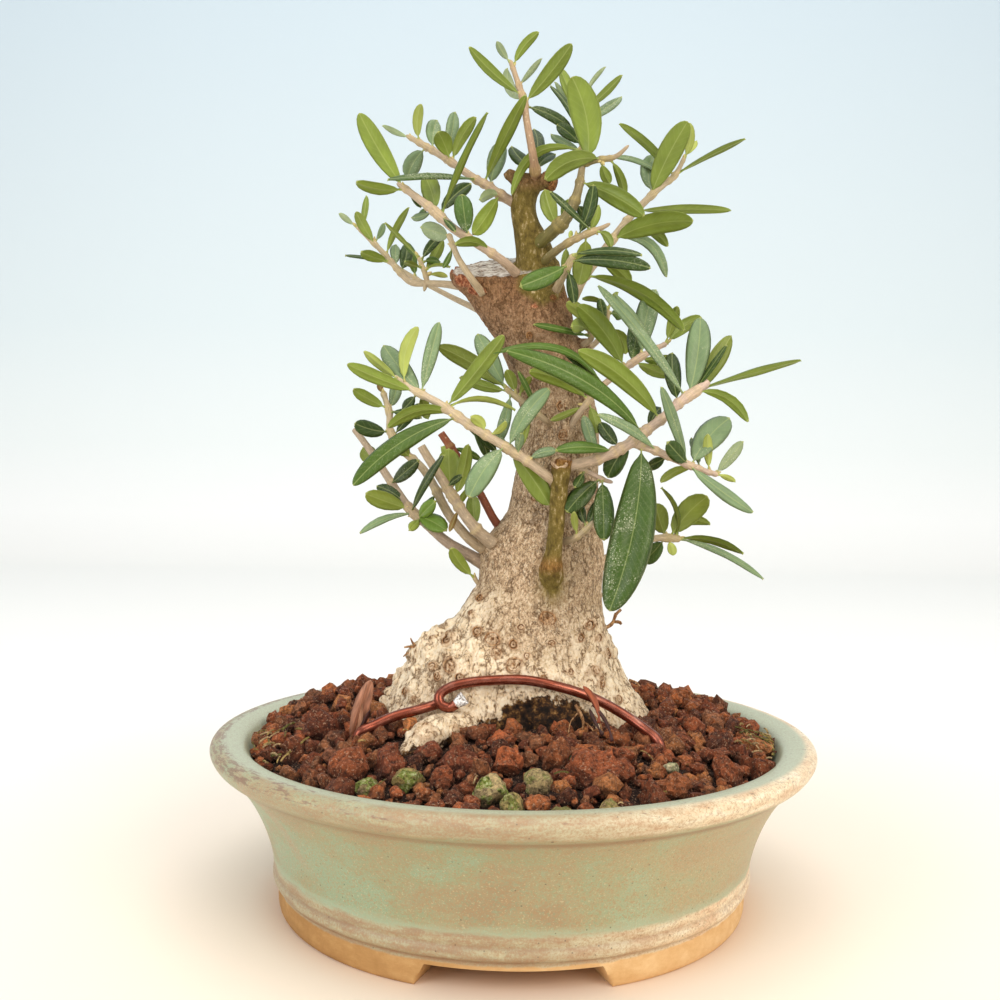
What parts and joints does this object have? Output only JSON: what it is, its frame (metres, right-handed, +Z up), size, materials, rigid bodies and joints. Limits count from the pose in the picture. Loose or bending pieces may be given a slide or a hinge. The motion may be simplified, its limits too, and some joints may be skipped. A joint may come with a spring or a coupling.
{
  "type": "potted bonsai tree",
  "caption": "Wild olive bonsai with a thick cut-back trunk and leafy shoots, planted in granular soil in a round glazed bowl.",
  "frame": {"origin": "on the table level under the middle of the round pot", "axes": "+Z up along the trunk, +X to the viewer's right, +Y away from the viewer"},
  "size_m": [0.15, 0.15, 0.2148],
  "materials": {
    "bark": "rough",
    "foliage": "satin",
    "glaze": "semi-gloss",
    "granules": "matt",
    "copper_wire": "copper-coloured anodised",
    "screen_plastic": "matt",
    "withered": "matt"
  },
  "bodies": {
    "root": {"base_leaf": "foliage", "budded_twig": "foliage", "crossing_twig": "foliage", "crown_shoot": "foliage", "drain_screen_left": "screen_plastic", "drain_screen_right": "screen_plastic", "dry_leaf_left": "withered", "dry_leaf_right": "withered", "hold_down_wire": "copper_wire", "inner_left_shoot": "foliage", "left_arm_shoot": "foliage", "left_branch": "foliage", "low_right_shoot": "foliage", "low_right_sprig": "foliage", "middle_left_shoot": "foliage", "outer_left_shoot": "foliage", "pot": "glaze", "rear_left_leaf_tip": "foliage", "rear_left_spray": "foliage", "rear_right_sprig": "foliage", "right_arm_shoot": "foliage", "right_branch": "foliage", "right_edge_sprig": "foliage", "rust_shoot": "foliage", "shoulder_shoot": "foliage", "soil": "granules", "stub_twig": "foliage", "top_right_shoot": "foliage", "trunk": "bark", "trunk_face_shoot": "foliage", "upper_left_shoot": "foliage"}
  },
  "joints": []
}
